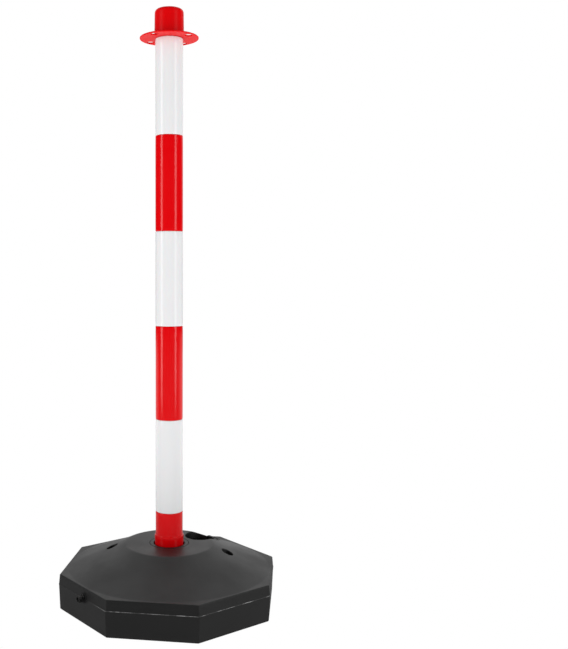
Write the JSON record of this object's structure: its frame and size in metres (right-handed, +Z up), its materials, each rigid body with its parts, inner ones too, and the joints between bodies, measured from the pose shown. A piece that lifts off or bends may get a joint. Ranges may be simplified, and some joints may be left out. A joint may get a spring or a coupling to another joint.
{
  "type": "plastic chain stanchion",
  "caption": "Free-standing plastic chain post: hollow octagonal black foot, red and white plug-together tube, red cap with chain holes in its brim.",
  "frame": {"origin": "centre of the foot's underside, on the ground", "axes": "+Z up along the post, one flat side of the octagonal foot faces -Y"},
  "size_m": [0.311, 0.311, 0.882],
  "materials": {
    "foot_black": "fine moulded texture",
    "insert_black": "satin",
    "stopper_black": "glossy",
    "plug_black": "satin",
    "seal_rubber": "matte",
    "post_red": "smooth semi-gloss",
    "post_white": "smooth semi-gloss",
    "cap_red": "smooth semi-gloss"
  },
  "bodies": {
    "foot": {"base_shell": "foot_black", "socket_insert": "insert_black"},
    "filler_stopper": {"filler_cap": "stopper_black", "filler_seal": "seal_rubber"},
    "drain": {"drain_plug": "plug_black", "drain_seal": "seal_rubber"},
    "post_base": {"post_foot": "post_red"},
    "section_1": {"post_section_1": "post_white"},
    "section_2": {"post_section_2": "post_red"},
    "section_3": {"post_section_3": "post_white"},
    "section_4": {"post_section_4": "post_red"},
    "section_5": {"post_section_5": "post_white"},
    "cap": {"top_cap": "cap_red"}
  },
  "joints": [
    {"name": "filler_stopper_pull", "type": "slide", "parent": "foot", "child": "filler_stopper", "axis": [0, 0, 1], "range_m": [0, 0.025]},
    {"name": "drain_plug_pull", "type": "slide", "parent": "foot", "child": "drain", "axis": [-0.7071, -0.7071, 0], "range_m": [0, 0.02]},
    {"name": "post_lift", "type": "slide", "parent": "foot", "child": "post_base", "axis": [0, 0, 1], "range_m": [0, 0.12]},
    {"name": "section_1_pull", "type": "slide", "parent": "post_base", "child": "section_1", "axis": [0, 0, 1], "range_m": [0, 0.035]},
    {"name": "section_2_pull", "type": "slide", "parent": "section_1", "child": "section_2", "axis": [0, 0, 1], "range_m": [0, 0.035]},
    {"name": "section_3_pull", "type": "slide", "parent": "section_2", "child": "section_3", "axis": [0, 0, 1], "range_m": [0, 0.035]},
    {"name": "section_4_pull", "type": "slide", "parent": "section_3", "child": "section_4", "axis": [0, 0, 1], "range_m": [0, 0.035]},
    {"name": "section_5_pull", "type": "slide", "parent": "section_4", "child": "section_5", "axis": [0, 0, 1], "range_m": [0, 0.035]},
    {"name": "cap_turn", "type": "hinge", "parent": "section_5", "child": "cap", "pos_m": [0, 0, 0.84], "axis": [0, 0, 1], "continuous": true}
  ]
}
